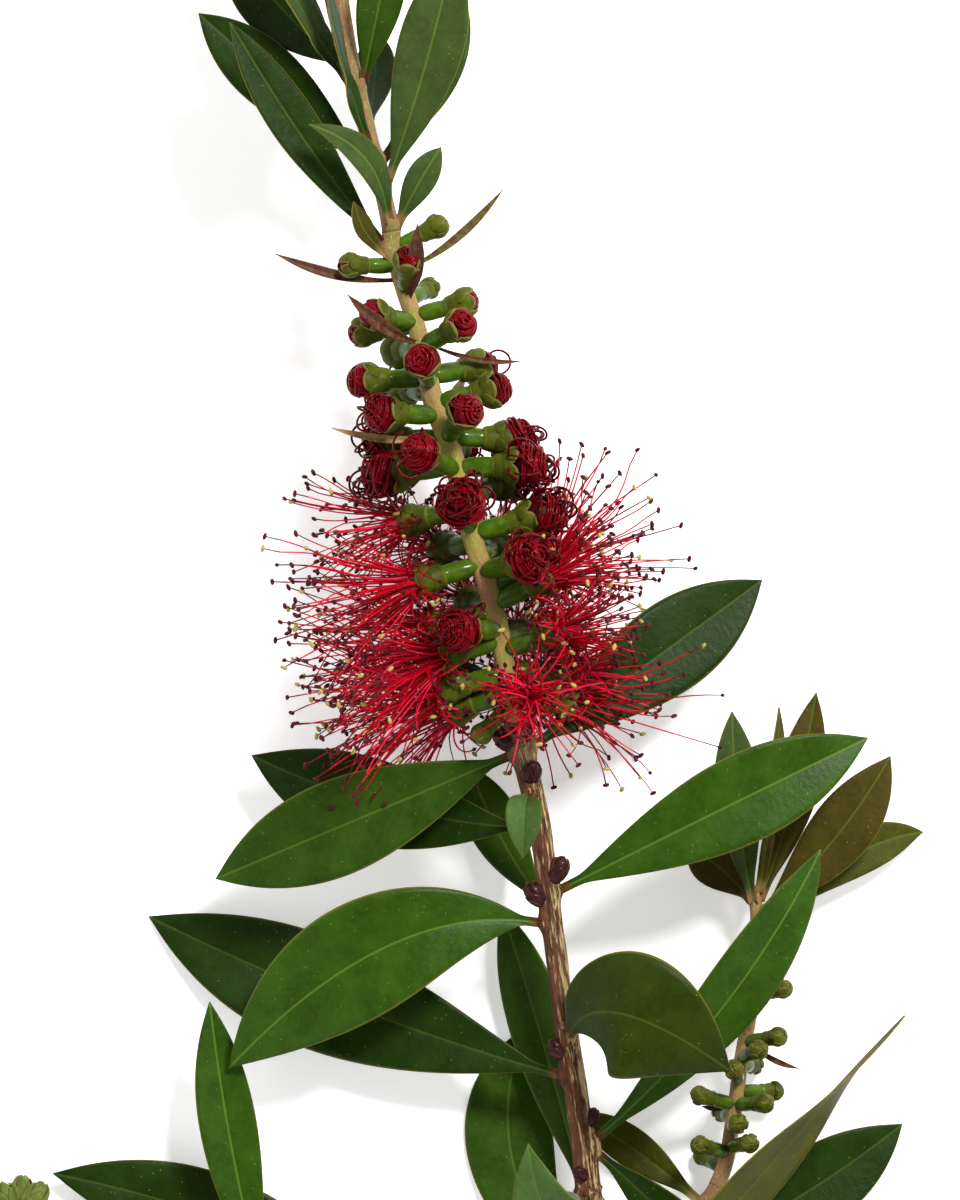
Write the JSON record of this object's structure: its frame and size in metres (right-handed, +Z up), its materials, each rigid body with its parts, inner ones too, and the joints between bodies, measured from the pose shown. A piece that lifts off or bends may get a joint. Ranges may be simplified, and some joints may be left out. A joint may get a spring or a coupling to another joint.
{
  "type": "cut flowering bottlebrush branch",
  "caption": "Cut flowering branch of a bottlebrush shrub, lying down: woody stem, red flower spike, leafy tip, lance-shaped leaves and a side branch of green buds.",
  "frame": {"origin": "centre of the bounding box's underside, on the level surface that the branch lies on", "axes": "+Y along the branch from its cut end to its leafy tip; +Z up from the surface; +X towards the side branch with the green buds"},
  "size_m": [0.1593, 0.2481, 0.0432],
  "materials": {
    "wood": "woody stem, dark red-brown bark split into fine lengthwise streaks of cream",
    "shoot": "young shoot, yellow-green to pinkish tan, finely downy",
    "leaf": "leathery leaf, mid to dark green with a soft gloss, paler midrib and fine gland dots",
    "young_leaf": "young leaf, olive brown, silky",
    "stamen": "crimson stamens, glossy threads",
    "anther": "dark maroon anthers, some yellow with pollen",
    "calyx": "green flower tubes and calyx lobes with paler rims",
    "green_bud": "closed green flower buds on a pinkish stem",
    "bract": "thin red-brown bracts and bud scales"
  },
  "bodies": {
    "root": {"main_stem": "wood", "right_stem": "shoot", "left_stem": "shoot", "tip_stem": "shoot", "bud_spike": "green_bud", "flower_spike": "stamen", "leaf_main_01": "leaf", "leaf_main_02": "leaf", "leaf_main_03": "leaf", "leaf_main_05": "leaf", "leaf_main_06": "leaf", "leaf_main_07": "leaf", "leaf_main_08": "leaf", "leaf_main_09": "leaf", "leaf_main_11": "leaf", "leaf_main_12": "leaf", "leaf_main_13": "leaf", "leaf_main_15": "young_leaf", "leaf_main_17": "leaf", "leaf_right_01": "young_leaf", "leaf_right_02": "young_leaf", "leaf_right_03": "young_leaf", "leaf_right_04": "young_leaf", "leaf_right_05": "young_leaf", "leaf_right_06": "young_leaf", "leaf_right_07": "leaf", "leaf_right_08": "leaf", "leaf_right_09": "young_leaf", "leaf_left_01": "leaf", "leaf_left_02": "leaf", "leaf_left_03": "leaf", "leaf_left_04": "leaf", "leaf_left_05": "leaf", "leaf_left_06": "leaf", "leaf_foot_01": "leaf", "leaf_tip_01": "leaf", "leaf_tip_02": "leaf", "leaf_tip_03": "leaf", "leaf_tip_04": "young_leaf", "leaf_tip_05": "leaf", "leaf_tip_06": "leaf", "leaf_tip_07": "young_leaf", "leaf_tip_08": "leaf", "leaf_tip_09": "young_leaf", "leaf_tip_11": "young_leaf", "leaf_tip_13": "leaf", "leaf_tip_15": "leaf", "leaf_tip_16": "leaf", "leaf_tip_17": "young_leaf", "leaf_tip_18": "young_leaf", "leaf_main_04": "leaf", "leaf_main_10": "leaf", "leaf_main_14": "leaf", "leaf_tip_10": "young_leaf"}
  },
  "joints": []
}
